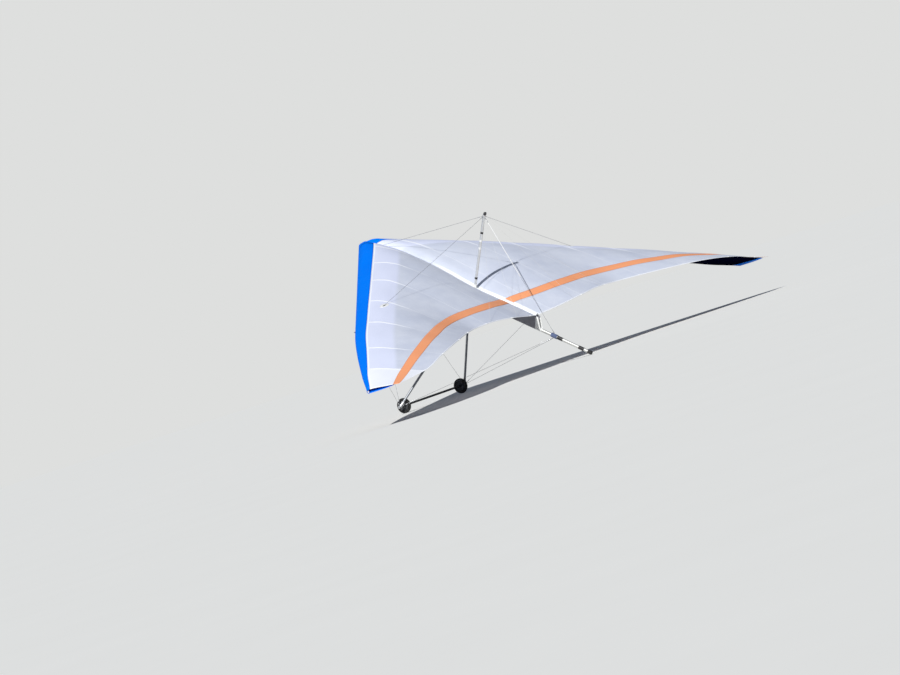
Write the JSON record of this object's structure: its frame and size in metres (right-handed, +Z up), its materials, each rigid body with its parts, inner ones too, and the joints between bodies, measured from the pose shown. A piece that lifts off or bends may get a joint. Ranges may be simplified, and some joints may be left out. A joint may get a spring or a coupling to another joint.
{
  "type": "hang glider",
  "caption": "Flexible-wing hang glider with kingpost, control frame and wheels, parked tail-down on its gear.",
  "frame": {"origin": "on the floor under the middle of the parked glider's bounding box", "axes": "+X to the glider's left wing tip, +Y aft towards the keel's end, +Z up; parked nose-up"},
  "size_m": [9.8626, 3.181, 2.2906],
  "materials": {
    "tube": "satin drawn tube",
    "fitting": "bright machined",
    "sail_white": "smooth coated sailcloth",
    "sail_orange": "smooth coated sailcloth",
    "sail_blue": "smooth coated sailcloth",
    "blue_wrap": "wrapped tape",
    "black_plastic": "matt",
    "rubber": "matt",
    "tip_plastic": "moulded",
    "tyre": "matt",
    "hub": "moulded",
    "stay": "stranded steel wire",
    "webbing": "woven webbing"
  },
  "bodies": {
    "glider": {"keel_tube": "tube", "leading_tube_front_left": "tube", "leading_tube_front_right": "tube", "leading_tube_rear_left": "tube", "leading_tube_rear_right": "tube", "crossbar_left": "tube", "crossbar_right": "tube", "kingpost": "tube", "downtube_left": "tube", "downtube_right": "tube", "nose_plate_top": "fitting", "nose_plate_bottom": "fitting", "crossbar_bracket_left": "fitting", "crossbar_bracket_right": "fitting", "crossbar_hinge": "fitting", "kingpost_foot": "fitting", "apex_bracket": "fitting", "corner_fitting_left": "fitting", "corner_fitting_right": "fitting", "sail_front_left": "sail_white", "sail_front_right": "sail_white", "sail_rear_left": "sail_white", "sail_rear_right": "sail_white", "sail_centre_strip": "sail_white", "keel_pocket": "sail_white", "sail_stripe_left": "sail_orange", "sail_stripe_right": "sail_orange", "leading_edge_skin_left": "sail_blue", "leading_edge_skin_right": "sail_blue", "nose_cover": "sail_blue", "keel_collar": "blue_wrap", "keel_sleeve_front": "black_plastic", "keel_sleeve_rear": "black_plastic", "kingpost_cap": "black_plastic", "base_bar": "black_plastic", "wheel_collar_left": "black_plastic", "wheel_collar_right": "black_plastic", "keel_cap": "rubber", "tip_cap_left": "tip_plastic", "tip_cap_right": "tip_plastic", "side_stay_lower_left": "stay", "side_stay_lower_right": "stay", "front_stay_lower_left": "stay", "front_stay_lower_right": "stay", "rear_stay_lower_left": "stay", "rear_stay_lower_right": "stay", "side_stay_upper_left": "stay", "side_stay_upper_right": "stay", "front_stay_upper": "stay", "rear_stay_upper": "stay", "hang_loop": "webbing"},
    "wheel_left": {"tyre_left": "tyre", "hub_left": "hub"},
    "wheel_right": {"tyre_right": "tyre", "hub_right": "hub"}
  },
  "joints": [
    {"name": "wheel_left_spin", "type": "hinge", "parent": "glider", "child": "wheel_left", "pos_m": [0.735, -1.20451, 0.1], "axis": [1, 0, 0], "continuous": true},
    {"name": "wheel_right_spin", "type": "hinge", "parent": "glider", "child": "wheel_right", "pos_m": [-0.735, -1.20451, 0.1], "axis": [1, 0, 0], "continuous": true}
  ]
}
